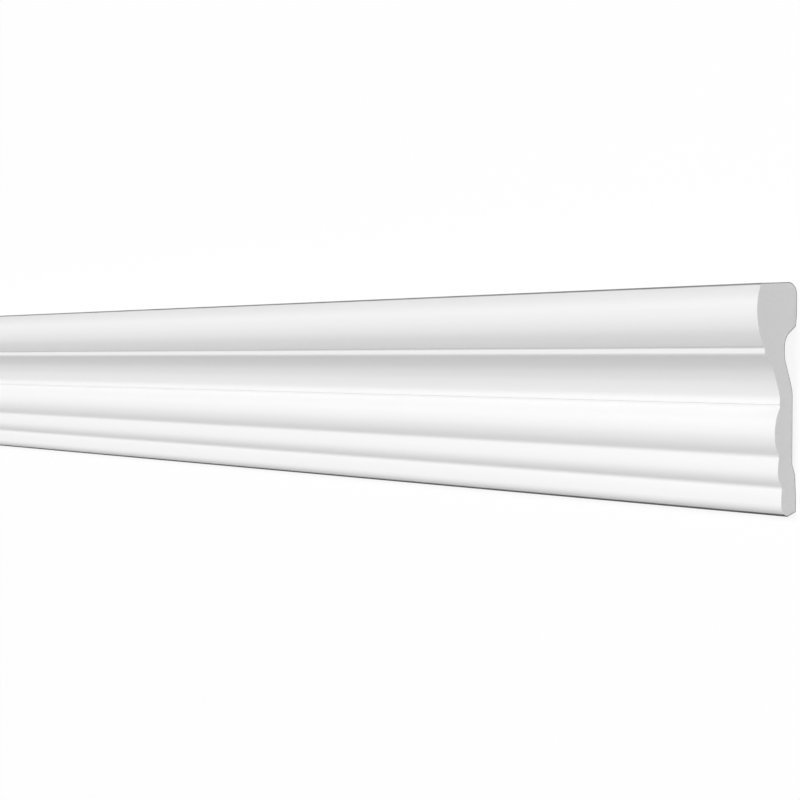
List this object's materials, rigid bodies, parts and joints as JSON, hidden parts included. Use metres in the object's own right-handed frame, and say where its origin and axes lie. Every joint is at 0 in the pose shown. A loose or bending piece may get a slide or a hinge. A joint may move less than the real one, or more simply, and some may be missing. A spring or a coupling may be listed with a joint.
{
  "type": "wall moulding",
  "caption": "Straight length of white wall moulding: rounded top roll, fillet, cove and stepped beads on its face, relieved back with flat lands for gluing to a wall.",
  "frame": {"origin": "middle of the back: half the length, half the height and in the plane of the wall that the moulding is fixed to", "axes": "+X along the length; +Y up the wall when fitted, towards the big roll; +Z out of the wall, so the part lies on its back with its face up"},
  "size_m": [2, 0.09, 0.0237],
  "materials": {
    "primed_foam": "satin white primer over an extruded hard foam"
  },
  "bodies": {
    "root": {"wall_moulding": "primed_foam"}
  },
  "joints": []
}
